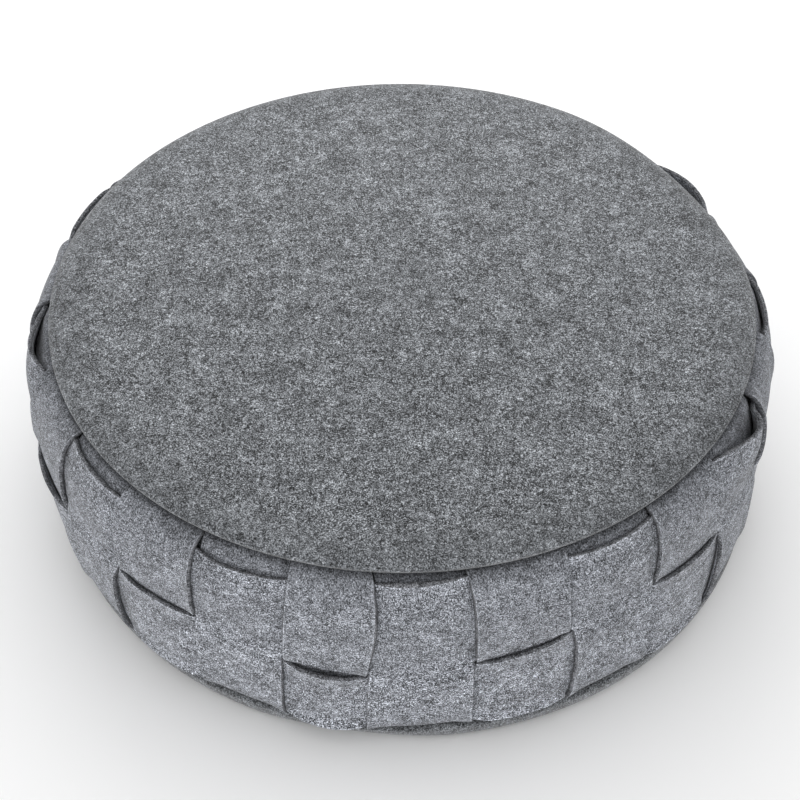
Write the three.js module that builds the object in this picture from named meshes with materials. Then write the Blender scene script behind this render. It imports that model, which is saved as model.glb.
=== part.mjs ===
// A round seat cushion covered in thick felt: a filled body with a crowned top panel and a flat
// bottom panel, and a side wall woven from 24 upright strips and two hoops.
// Millimetres, +Z up. The origin is on the floor under the cushion's axis, and its face side is -Y.
// A bearing is an angle round the cushion: 0 is the face side, and it grows towards +X.
// A drop is a distance below the top seam.

import * as THREE from 'three';

// Driving dimensions
const FELT = 3;
const CLEAR = 0.35;
const BACKING_CLEAR = 1.05;
const TOP_SEAM_RADIUS = 213;
const FULLEST_RADIUS = 224;
const BOTTOM_SEAM_RADIUS = 216.5;
const FULLEST_DROP = 34;
const WALL_HEIGHT = 130;
const FLOOR_TO_SEAM = 17;
const FLAT_RADIUS = 207;
const CROWN = 18;
const RIM_WIDTH = 21.5;
const RIM_RISE = 6.5;
const FOOT_DROP = 126;
const SETTLE = new THREE.Vector2(3.4, -1);
const SLIT = 2.2;
const EASE = 13;
const FIRST_BEARING = -92.5;

// The weave has one row here for each upright strip, from the left end of the face side round
// past the front. Its named columns are, in degrees and millimetres:
// width: from the strip's first side to the next strip's
// top: how far its first side is turned on at the top seam
// middle: the same where the hoops part
// foot: the same at the bottom seam
// lip: drop of the upper hoop's top edge at its first side
// split: drop at which the two hoops part at its first side
// gape: how far the free edge of the hoop that lies outside stands off at its middle
const WEAVE = [
  { width: 15.2, top: 1.0, middle: 0.3, foot: 0.0, lip: 6.5, split: 64.0, gape: 6.5 },
  { width: 15.8, top: 1.5, middle: 0.8, foot: 0.0, lip: 6.0, split: 63.0, gape: 1.6 },
  { width: 14.9, top: 1.2, middle: 0.8, foot: 0.0, lip: 4.7, split: 62.0, gape: 1.4 },
  { width: 14.9, top: 0.4, middle: 0.6, foot: -1.4, lip: 7.7, split: 60.7, gape: 0.5 },
  { width: 14.5, top: 0.6, middle: 0.4, foot: -0.5, lip: 9.3, split: 60.4, gape: 1.4 },
  { width: 12.6, top: 0.8, middle: -0.2, foot: -1.2, lip: 9.1, split: 72.5, gape: 2.7 },
  { width: 15.1, top: 0.1, middle: -0.3, foot: -1.2, lip: 4.2, split: 76.7, gape: 1.8 },
  { width: 15.2, top: -1.0, middle: 0.2, foot: 0.0, lip: 2.5, split: 67.6, gape: 1.2 },
  { width: 14.8, top: -0.4, middle: -0.3, foot: -0.3, lip: 4.5, split: 60.8, gape: 1.8 },
  { width: 15.4, top: -0.2, middle: -0.3, foot: -0.5, lip: 4.9, split: 56.5, gape: 0.5 },
  { width: 16.0, top: -0.9, middle: 0.2, foot: -0.7, lip: 4.3, split: 63.5, gape: 10.5 },
  { width: 15.1, top: -1.3, middle: -0.2, foot: 0.0, lip: 10.3, split: 64.0, gape: 1.6 },
  { width: 15.0, top: -0.9, middle: -0.3, foot: 0.0, lip: 6.0, split: 65.0, gape: 3.0 },
  { width: 15.0, top: -0.9, middle: -0.2, foot: 0.5, lip: 5.0, split: 63.0, gape: 1.2 },
  { width: 15.0, top: -0.6, middle: 0.0, foot: 0.0, lip: 5.0, split: 62.0, gape: 4.6 },
  { width: 15.2, top: -0.4, middle: -0.2, foot: -0.5, lip: 6.0, split: 65.0, gape: 1.4 },
  { width: 14.8, top: 0.2, middle: 0.0, foot: 0.0, lip: 7.0, split: 67.0, gape: 0.5 },
  { width: 15.1, top: 0.0, middle: 0.3, foot: 0.4, lip: 7.0, split: 64.0, gape: 1.4 },
  { width: 15.3, top: 0.3, middle: 0.0, foot: 0.0, lip: 7.0, split: 63.0, gape: 0.5 },
  { width: 14.7, top: -0.3, middle: 0.0, foot: 0.2, lip: 7.0, split: 66.0, gape: 1.4 },
  { width: 15.0, top: 0.0, middle: -0.2, foot: -0.4, lip: 7.0, split: 64.0, gape: 0.5 },
  { width: 15.1, top: 0.4, middle: 0.0, foot: 0.0, lip: 6.0, split: 62.0, gape: 1.4 },
  { width: 15.2, top: 0.0, middle: 0.3, foot: 0.0, lip: 5.0, split: 65.0, gape: 1.7 },
  { width: 15.1, top: 0.6, middle: 0.2, foot: 0.3, lip: 6.0, split: 64.0, gape: 1.4 },
];

// How far the lines that shape a strip lie in from its edges
const EDGE_INSET = SLIT / 2;
const FLARE_INSET = 7;
const MIDDLE_INSET = 21;

// Drops at which the wall's curve takes a line: its shoulder, its fullest part and the draw-in below
const SHOULDER_DROP = 24;
const CREST_DROP = 41;
const LOWER_DROP = 97;

// How squarely the wall turns in towards each seam, how squarely a gaping edge bows and lifts, and
// how much of the filling's settling is near the floor
const SHOULDER_POWER = 2.2;
const DRAW_IN_POWER = 2.6;
const BOW_POWER = 1.4;
const LIFT_POWER = 2;
const SETTLE_POWER = 3;

// Sizes that follow from them
const FULL_TURN = 360;
const COUNT = WEAVE.length;
const TURN_SHARE = FULL_TURN / WEAVE.reduce((sum, strip) => sum + strip.width, 0);
const TOP_SEAM_HEIGHT = FLOOR_TO_SEAM + WALL_HEIGHT;
const LEVEL = (FELT + CLEAR) / 2;
const BACKING_DEPTH = 2 * LEVEL + FELT / 2 + BACKING_CLEAR;

const PANEL_GREY = 0x74777b;
const STRIP_GREY = 0x8b8f95;
const FELT_ROUGHNESS = 0.97;

function felt(colour) {
  return new THREE.MeshStandardMaterial({ color: colour, roughness: FELT_ROUGHNESS, metalness: 0 });
}

// The middle of the woven wall: it swells from the top seam to its fullest and draws in below.
function wallRadius(drop) {
  if (drop < FULLEST_DROP) {
    const rest = (FULLEST_DROP - drop) / FULLEST_DROP;
    return FULLEST_RADIUS - (FULLEST_RADIUS - TOP_SEAM_RADIUS) * rest ** SHOULDER_POWER;
  }
  const run = (drop - FULLEST_DROP) / (WALL_HEIGHT - FULLEST_DROP);
  return FULLEST_RADIUS - (FULLEST_RADIUS - BOTTOM_SEAM_RADIUS) * run ** DRAW_IN_POWER;
}

// A point of the wall's profile, moved out of it along its normal: x is the radius, y the height.
function wallPoint(drop, outward) {
  const nudge = 0.01;
  const slope = (wallRadius(drop + nudge) - wallRadius(drop - nudge)) / (2 * nudge);
  const length = Math.hypot(1, slope);
  return new THREE.Vector2(
    wallRadius(drop) + outward / length,
    TOP_SEAM_HEIGHT - drop + (outward * slope) / length,
  );
}

// The filling has settled a little to one side, so the wall leans out there towards the floor.
function settle(height) {
  const share = (TOP_SEAM_HEIGHT - height) / TOP_SEAM_HEIGHT;
  return SETTLE.clone().multiplyScalar(Math.max(0, share) ** SETTLE_POWER);
}

const SIDES = [FIRST_BEARING];
for (const strip of WEAVE) {
  SIDES.push(SIDES.at(-1) + strip.width * TURN_SHARE);
}

// The bearing of a column's first side: it leans one way above the hoops' parting and another below.
function sideBearing(column, drop) {
  const turns = Math.floor(column / COUNT);
  const strip = WEAVE[column - turns * COUNT];
  const lean =
    drop < strip.split
      ? THREE.MathUtils.mapLinear(drop, 0, strip.split, strip.top, strip.middle)
      : THREE.MathUtils.mapLinear(drop, strip.split, WALL_HEIGHT, strip.middle, strip.foot);
  return SIDES[column - turns * COUNT] + turns * FULL_TURN + lean;
}

// A named value of the table at a share of the way from a column's first side to its last.
function along(name, column, share) {
  const next = (column + 1) % COUNT;
  return THREE.MathUtils.lerp(WEAVE[column][name], WEAVE[next][name], share);
}

// 1 at an edge, easing to 0 at EASE away from it
function near(distance) {
  return distance >= EASE ? 0 : (1 + Math.cos((Math.PI * distance) / EASE)) / 2;
}

// The upright lines of a column, each with its share of the way across and its inset.
function uprightLines(column) {
  const pitch = THREE.MathUtils.degToRad(WEAVE[column].width) * FULLEST_RADIUS;
  const insets = [EDGE_INSET, FLARE_INSET, MIDDLE_INSET];
  const first = insets.map((inset) => ({ share: inset / pitch, inset }));
  const last = first.map((line) => ({ share: 1 - line.share, inset: line.inset })).reverse();
  return [...first, ...last];
}

// The level lines of the weave at one upright line, from the top seam to the bottom one: the drop
// of each, its row, how far it is from the nearer end of its row, and the hoops' edges there. The
// first and the last line lie on the uprights alone.
function levelLines(column, share) {
  const lip = along('lip', column, share);
  const split = along('split', column, share);
  const upper = [
    lip,
    lip + FLARE_INSET,
    SHOULDER_DROP,
    CREST_DROP,
    split - FLARE_INSET,
    split - EDGE_INSET,
  ];
  const lower = [
    split + EDGE_INSET,
    split + FLARE_INSET,
    LOWER_DROP,
    FOOT_DROP - FLARE_INSET,
    FOOT_DROP,
  ];
  return [
    { drop: CLEAR, end: 0, row: 0 },
    ...upper.map((drop) => ({ drop, end: Math.min(drop, split - drop), row: 0, lip, split })),
    ...lower.map((drop) => ({
      drop,
      end: Math.min(drop - split, WALL_HEIGHT - drop),
      row: 1,
      lip,
      split,
    })),
    { drop: WALL_HEIGHT - CLEAR, end: 0, row: 1 },
  ];
}

// +1 where the hoop of a row lies outside the upright, and -1 where it lies behind it
function hoopSign(column, row) {
  return (column + row) % 2 === 0 ? 1 : -1;
}

// How far the middle of each strip stands out of the wall's middle: where two strips cross they lie
// one strip apart, and each swings past the other's edges to the other side.
function uprightLevel(column, level, inset) {
  const sign = hoopSign(column, level.row);
  return -sign * LEVEL * (1 - near(level.end) + near(inset));
}

function hoopLevel(column, level, inset) {
  const sign = hoopSign(column, level.row);
  return sign * LEVEL * (1 + near(level.end) - near(inset));
}

// The free edge of a hoop that lies outside bows away from the wall between the two uprights.
function hoopGape(column, level, share) {
  if (hoopSign(column, level.row) < 0) {
    return 0;
  }
  const edge = level.row === 0 ? level.lip : level.split;
  const root = level.row === 0 ? level.split : FOOT_DROP;
  const lift = Math.max(0, (root - level.drop) / (root - edge)) ** LIFT_POWER;
  return WEAVE[column].gape * Math.sin(Math.PI * share) ** BOW_POWER * lift;
}

// The two faces of a strip at one crossing of its lines
function faces(column, share, drop, outward) {
  const start = sideBearing(column, drop);
  const end = sideBearing(column + 1, drop);
  const bearing = THREE.MathUtils.degToRad(THREE.MathUtils.lerp(start, end, share));
  return [outward + FELT / 2, outward - FELT / 2].map((offset) => {
    const point = wallPoint(drop, offset);
    const shift = settle(point.y);
    return [
      point.x * Math.sin(bearing) + shift.x,
      -point.x * Math.cos(bearing) + shift.y,
      point.y,
    ];
  });
}

// A closed solid from lines of [outer, inner] points. Each line runs down, and the lines run on
// round the cushion. A ring's last line joins its first.
function strip(name, lines, ring) {
  const depth = lines[0].length;
  const positions = lines.flat(3);
  const index = [];
  const outer = (i, j) => ((i % lines.length) * depth + j) * 2;
  const inner = (i, j) => outer(i, j) + 1;
  const quad = (a, b, c, d) => index.push(a, b, c, a, c, d);
  const spans = ring ? lines.length : lines.length - 1;
  for (let i = 0; i < spans; i += 1) {
    for (let j = 0; j < depth - 1; j += 1) {
      quad(outer(i, j), outer(i, j + 1), outer(i + 1, j + 1), outer(i + 1, j));
      quad(inner(i + 1, j + 1), inner(i, j + 1), inner(i, j), inner(i + 1, j));
    }
    quad(outer(i, 0), outer(i + 1, 0), inner(i + 1, 0), inner(i, 0));
    quad(outer(i + 1, depth - 1), outer(i, depth - 1), inner(i, depth - 1), inner(i + 1, depth - 1));
  }
  if (!ring) {
    const last = lines.length - 1;
    for (let j = 0; j < depth - 1; j += 1) {
      quad(outer(0, j), inner(0, j), inner(0, j + 1), outer(0, j + 1));
      quad(inner(last, j), outer(last, j), outer(last, j + 1), inner(last, j + 1));
    }
  }
  const geometry = new THREE.BufferGeometry();
  geometry.setAttribute('position', new THREE.Float32BufferAttribute(positions, 3));
  geometry.setIndex(index);
  geometry.computeVertexNormals();
  const mesh = new THREE.Mesh(geometry, felt(STRIP_GREY));
  mesh.name = name;
  return mesh;
}

// One upright strip, from under the top panel's rim to over the bottom panel's.
function upright(column) {
  const lines = uprightLines(column).map(({ share, inset }) => {
    const levels = levelLines(column, share);
    return levels.map((level) => faces(column, share, level.drop, uprightLevel(column, level, inset)));
  });
  return strip(`upright_${String(column + 1).padStart(2, '0')}`, lines, false);
}

// One hoop right round the cushion: row 0 is the upper one and row 1 the lower one.
function hoop(name, row) {
  const lines = WEAVE.flatMap((_, column) =>
    uprightLines(column).map(({ share, inset }) =>
      levelLines(column, share)
        .filter((level) => level.row === row && level.split)
        .map((level) => {
          const outward = hoopLevel(column, level, inset) + hoopGape(column, level, share);
          return faces(column, share, level.drop, outward);
        }),
    ),
  );
  return strip(name, lines, true);
}

// The filled body: a flat underside that rolls up to the bottom seam, the backing behind the weave,
// a rim over the strips' ends at each seam, and the top panel's roll and crown.
function cushion() {
  const ROLL_STEPS = 5;
  const CROWN_STEPS = 6;
  const AROUND = 60;
  const backing = [WALL_HEIGHT, FOOT_DROP - FLARE_INSET, LOWER_DROP, CREST_DROP, SHOULDER_DROP];
  const profile = [new THREE.Vector2(0, 0)];
  const bottomRim = wallPoint(WALL_HEIGHT, FELT / 2);
  for (let step = 0; step <= ROLL_STEPS; step += 1) {
    const turn = (Math.PI / 2) * (step / ROLL_STEPS);
    const reach = (bottomRim.x - FLAT_RADIUS) * Math.sin(turn);
    profile.push(new THREE.Vector2(FLAT_RADIUS + reach, bottomRim.y * (1 - Math.cos(turn))));
  }
  for (const drop of [...backing, SHOULDER_DROP / 2, 0]) {
    profile.push(wallPoint(drop, -BACKING_DEPTH));
  }
  const topRim = wallPoint(0, FELT / 2);
  const rimStart = topRim.x - RIM_WIDTH;
  const panelHeight = (radius) => {
    const roll = Math.max(0, radius - rimStart) / RIM_WIDTH;
    const dome = (CROWN - RIM_RISE) * (1 - (radius / topRim.x) ** 2);
    return topRim.y + RIM_RISE * Math.sqrt(Math.max(0, 1 - roll ** 2)) + dome;
  };
  for (let step = 0; step <= ROLL_STEPS; step += 1) {
    const turn = (Math.PI / 2) * (step / ROLL_STEPS);
    const radius = rimStart + RIM_WIDTH * Math.cos(turn);
    profile.push(new THREE.Vector2(radius, panelHeight(radius)));
  }
  for (let step = 1; step <= CROWN_STEPS; step += 1) {
    const radius = rimStart * (1 - step / CROWN_STEPS);
    profile.push(new THREE.Vector2(radius, panelHeight(radius)));
  }
  const geometry = new THREE.LatheGeometry(profile, AROUND);
  geometry.rotateX(Math.PI / 2);
  const positions = geometry.attributes.position;
  for (let corner = 0; corner < positions.count; corner += 1) {
    const shift = settle(positions.getZ(corner));
    positions.setX(corner, positions.getX(corner) + shift.x);
    positions.setY(corner, positions.getY(corner) + shift.y);
  }
  const mesh = new THREE.Mesh(geometry, felt(PANEL_GREY));
  mesh.name = 'cushion';
  return mesh;
}

const model = new THREE.Group();
model.add(cushion());
for (let column = 0; column < COUNT; column += 1) {
  model.add(upright(column));
}
model.add(hoop('hoop_upper', 0), hoop('hoop_lower', 1));

export default model;
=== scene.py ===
"""A round seat cushion of thick heathered felt, with a woven side wall, on a pale studio floor.

The cushion is a filled body with a crowned top panel and a flat bottom one. Its side wall is woven
from 24 upright strips and two hoops. Lengths are metres unless a name says otherwise. A bearing is
an angle round the cushion, 0 at its face side (-Y) and growing towards +X, and a drop is a distance
below the top seam.
"""

import logging
import math
from dataclasses import dataclass, field
from enum import Enum
from typing import Callable, NamedTuple

import bmesh
import bpy
from mathutils import Matrix, Vector, noise
from mathutils.bvhtree import BVHTree


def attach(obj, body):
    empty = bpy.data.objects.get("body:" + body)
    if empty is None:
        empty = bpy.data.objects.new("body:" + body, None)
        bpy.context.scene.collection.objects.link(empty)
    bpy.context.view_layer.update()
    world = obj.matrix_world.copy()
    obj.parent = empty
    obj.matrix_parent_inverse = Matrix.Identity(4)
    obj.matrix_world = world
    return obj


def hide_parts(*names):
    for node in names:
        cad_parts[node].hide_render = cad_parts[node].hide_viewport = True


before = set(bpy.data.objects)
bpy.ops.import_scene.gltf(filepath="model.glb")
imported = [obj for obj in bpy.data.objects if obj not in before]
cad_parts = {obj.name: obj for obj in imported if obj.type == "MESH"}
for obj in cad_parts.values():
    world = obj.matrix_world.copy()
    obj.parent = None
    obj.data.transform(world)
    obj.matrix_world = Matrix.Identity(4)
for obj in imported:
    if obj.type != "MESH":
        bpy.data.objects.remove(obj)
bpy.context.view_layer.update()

BODY = "root"
MM = 0.001
EYE = 2.2  # a shade that looks half as light sends back this power of a half of the light
FULL_TURN = 360.0
FELT = 3.0 * MM
CLEAR = 0.35 * MM
WELD = 0.01 * MM
NOISE_MIDDLE = 0.5

log = logging.getLogger("cushion")


def apart(first: float, second: float) -> float:
    """Return the turn between two bearings, the short way round."""
    return abs((first - second + FULL_TURN / 2) % FULL_TURN - FULL_TURN / 2)


def ease_out(distance: float, reach: float) -> float:
    """Return 1 at no distance, easing to 0 at reach and beyond.

    Args:
        distance: How far the place is from where the ease starts.
        reach: The distance at which it has faded out.

    Returns:
        A share from 0 to 1.
    """
    if distance >= reach:
        return 0.0
    return (1 + math.cos(math.pi * max(0.0, distance) / reach)) / 2


def lerp(start: float, end: float, share: float) -> float:
    """Return the value at a share of the way from start to end."""
    return start + (end - start) * share


@dataclass(frozen=True)
class Wall:
    """The middle surface of the woven side wall, a curve turned round the cushion's axis."""

    top_seam_radius: float = 213 * MM
    fullest_radius: float = 224 * MM
    bottom_seam_radius: float = 216.5 * MM
    fullest_drop: float = 34 * MM
    height: float = 130 * MM
    floor_to_seam: float = 17 * MM
    shoulder_power: float = 2.2
    draw_in_power: float = 2.6
    settle_x: float = 3.4 * MM
    settle_y: float = -1.0 * MM
    settle_power: float = 3.0
    fuller: float = 2.0 * MM
    fuller_bearing: float = -118.0
    press_power: float = 0.5
    tuck: float = 3.2 * MM
    tuck_reach: float = 8 * MM
    hollow: float = 2.5 * MM
    hollow_bearing: float = 107.0
    hollow_width: float = 18.0
    dent: float = 4.5 * MM
    dent_bearing: float = 122.0
    dent_width: float = 30.0
    slump: float = 3.5 * MM
    slump_bearing: float = -8.0
    slump_width: float = 17.0
    slump_reach: float = 60 * MM

    @property
    def seam_height(self) -> float:
        """Height of the top seam over the floor."""
        return self.floor_to_seam + self.height

    def radius(self, drop: float) -> float:
        """Return the wall's radius at a drop.

        Args:
            drop: Distance below the top seam.

        Returns:
            The radius: it swells to the fullest part and draws in below it.
        """
        if drop < self.fullest_drop:
            rest = (self.fullest_drop - drop) / self.fullest_drop
            swell = self.fullest_radius - self.top_seam_radius
            return self.fullest_radius - swell * rest**self.shoulder_power
        run = (drop - self.fullest_drop) / (self.height - self.fullest_drop)
        draw = self.fullest_radius - self.bottom_seam_radius
        return self.fullest_radius - draw * run**self.draw_in_power

    def profile(self, drop: float, outward: float) -> tuple[float, float]:
        """Return the radius and height of a point beside the wall's curve.

        Args:
            drop: Distance below the top seam.
            outward: How far out along the wall's normal the point lies.

        Returns:
            Its radius and its height.
        """
        nudge = 0.01 * MM
        slope = (self.radius(drop + nudge) - self.radius(drop - nudge)) / (2 * nudge)
        length = math.hypot(1, slope)
        return self.radius(drop) + outward / length, self.seam_height - drop + outward * slope / length

    def settled(self, height: float) -> tuple[float, float]:
        """Return how far the filling has settled sideways at a height, in X and in Y."""
        share = max(0.0, (self.seam_height - height) / self.seam_height) ** self.settle_power
        return self.settle_x * share, self.settle_y * share

    def fullness(self, bearing: float, drop: float) -> float:
        """Return how far the wall bulges more than its curve at a place, none at its seams.

        Args:
            bearing: The place's bearing.
            drop: Its distance below the top seam.

        Returns:
            How far out it lies, or how far in where that is less than none.
        """
        share = math.sin(math.pi * min(1.0, max(0.0, drop / self.height)))
        fuller = self.fuller * math.cos(math.radians(bearing - self.fuller_bearing))
        hollow = self.hollow * ease_out(apart(bearing, self.hollow_bearing), self.hollow_width)
        return share * (fuller - hollow)

    def dented(self, bearing: float) -> float:
        """Return how far the whole cushion is out of round at a bearing, pushed in on one side."""
        return self.dent * ease_out(apart(bearing, self.dent_bearing), self.dent_width)

    def slumped(self, bearing: float, height: float) -> float:
        """Return how far the filling's slump lowers a place, most at the bottom seam.

        Args:
            bearing: The place's bearing, from -180 to 180 or past it.
            height: Its height over the floor, where there is no slump.

        Returns:
            How far it lies lower.
        """
        if height < self.floor_to_seam:
            share = max(0.0, height / self.floor_to_seam)
        else:
            share = ease_out(height - self.floor_to_seam, self.slump_reach)
        return self.slump * share * ease_out(apart(bearing, self.slump_bearing), self.slump_width)

    def pressed(self, bearing: float, height: float) -> float:
        """Return how far the slump presses the roll under the bottom seam inwards at a place."""
        below = max(0.0, 1 - max(0.0, height) / self.floor_to_seam) ** self.press_power
        return self.slump * below * ease_out(apart(bearing, self.slump_bearing), self.slump_width)

    def tucked(self, to_seam: float) -> float:
        """Return how far the felt is drawn in at a distance from a seam."""
        return self.tuck * max(0.0, 1 - to_seam / self.tuck_reach) ** 2

    def place(self, bearing: float, drop: float, outward: float) -> Vector:
        """Return the point of the wall at a bearing and a drop.

        Args:
            bearing: The point's bearing.
            drop: Its distance below the top seam.
            outward: How far out along the wall's normal it lies.

        Returns:
            The point, where the settled filling leaves it.
        """
        radius, height = self.profile(drop, outward + self.fullness(bearing, drop))
        angle = math.radians(bearing)
        radius -= self.dented(bearing)
        shift_x, shift_y = self.settled(height)
        height -= self.slumped(bearing, height)
        return Vector((radius * math.sin(angle) + shift_x, shift_y - radius * math.cos(angle), height))

    def length(self) -> float:
        """Measure the wall's curve from seam to seam.

        Returns:
            Its length.
        """
        steps = 64
        points = [Vector(self.profile(self.height * i / steps, 0.0)) for i in range(steps + 1)]
        return sum((second - first).length for first, second in zip(points, points[1:]))


class Column(NamedTuple):
    """One upright strip's place in the weave, and how the hoop outside it lies.

    Turns are degrees and lengths are millimetres. A side is the strip's first side, the one with
    the smaller bearing.
    """

    width: float  # turn from its side to the next strip's
    top: float  # how far its side is turned on at the top seam
    middle: float  # the same where the hoops part
    foot: float  # the same at the bottom seam
    lip: float  # drop of the upper hoop's top edge at its side
    split: float  # drop at which the two hoops part at its side
    gape: float  # how far the free edge of the hoop outside it stands off
    sag: float = 0.0  # how far that edge hangs down
    peak: float = 0.5  # the share of the way across at which it does so most
    curl: float = 0.6  # how far that edge turns out along its last few millimetres
    slit_upper: float = 1.0  # width of the slit at its side, beside the upper hoop
    slit_lower: float = 1.0  # width of the slit at its side, beside the lower hoop
    bow_upper: float = 0.0  # how far its side bows on beside the upper hoop
    bow_lower: float = 0.0  # how far its side bows on beside the lower hoop
    peel_upper: float = 0.5  # how far the upper edge of two at its side stands off, upper hoop
    peel_lower: float = 0.5  # the same beside the lower hoop
    hem: float = 1.0  # how far the foot of the lower hoop stands off
    slant: float = 0.0  # how slanted the cut of the outer hoop's top edge is, 1 for half a right angle


COLUMNS = (
    Column(15.2, 1.0, 0.3, 0.0, 6.5, 64.0, 5.5, peak=0.62, curl=1.2),
    Column(15.8, 1.5, 0.8, 0.0, 6.0, 63.0, 0.6, curl=1.0),
    Column(14.9, 1.2, 0.8, 0.0, 4.7, 62.0, 0.9, sag=0.8, curl=0.5, slant=0.2),
    Column(14.9, 0.4, 0.6, -1.4, 7.7, 60.7, 0.3, curl=0.2, bow_lower=-4.0, peel_lower=1.6),
    Column(
        14.5, 0.6, 0.4, -0.5, 9.3, 60.4, 0.8, sag=1.8, peak=0.4, curl=0.5, bow_upper=-0.2, peel_upper=1.8
    ),
    Column(
        12.6, 0.8, -0.2, -1.2, 9.1, 72.5, 2.4,
        curl=1.2, bow_lower=1.0, peel_upper=1.6, peel_lower=1.2, hem=3.0,
    ),
    Column(
        15.1, 0.1, -0.3, -1.2, 4.2, 76.7, 0.8,
        sag=0.4, peak=0.42, curl=1.0, bow_upper=5.6, peel_upper=2.4, slant=0.9,
    ),
    Column(15.2, -1.0, 0.2, 0.0, 2.5, 67.6, 0.4, curl=0.8, bow_upper=1.6, peel_upper=1.8, peel_lower=0.9),
    Column(14.8, -0.4, -0.3, -0.3, 4.5, 60.8, 1.2, sag=1.0, bow_upper=-2.2, bow_lower=3.0, peel_lower=2.0),
    Column(15.4, -0.2, -0.3, -0.5, 4.9, 56.5, 0.2, curl=0.2, peel_upper=0.8),
    Column(16.0, -0.9, 0.2, -0.7, 4.3, 63.5, 10.0, sag=1.5, peak=0.6, bow_lower=3.8, peel_lower=2.6),
    Column(15.1, -1.3, -0.2, 0.0, 10.3, 64.0, 1.0, peel_upper=2.6),
    Column(15.0, -2.0, -1.2, 0.0, 6.0, 65.0, 1.8, peak=0.28),
    Column(15.0, -3.0, -1.4, 0.5, 5.0, 63.0, 0.6),
    Column(15.0, -2.0, -1.0, 0.0, 5.0, 62.0, 4.8, sag=0.8, peak=0.45),
    Column(15.2, 0.6, 0.2, -0.5, 6.0, 65.0, 0.8),
    Column(14.8, 0.2, 0.0, 0.0, 7.0, 67.0, 0.2, curl=0.1),
    Column(15.1, 0.0, 0.3, 0.4, 7.0, 64.0, 0.8, bow_upper=1.5),
    Column(15.3, 0.3, 0.0, 0.0, 7.0, 63.0, 0.2, curl=0.1),
    Column(14.7, -0.3, 0.0, 0.2, 7.0, 66.0, 0.8, bow_lower=-2.0),
    Column(15.0, 0.0, -0.2, -0.4, 7.0, 64.0, 0.2, curl=0.1),
    Column(15.1, 0.4, 0.0, 0.0, 6.0, 62.0, 0.8, bow_upper=-1.4),
    Column(15.2, 0.0, 0.3, 0.0, 5.0, 65.0, 1.1, sag=0.5),
    Column(15.1, 0.6, 0.2, 0.3, 6.0, 64.0, 0.8),
)


class Row(Enum):
    """The two rows of the weave, each with the sign of the hoop's side at an even column."""

    UPPER = 1
    LOWER = -1


class Spot(NamedTuple):
    """A place of the weave: its column, the share of the way across, its drop and its row."""

    column: int
    share: float
    drop: float
    row: Row


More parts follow.
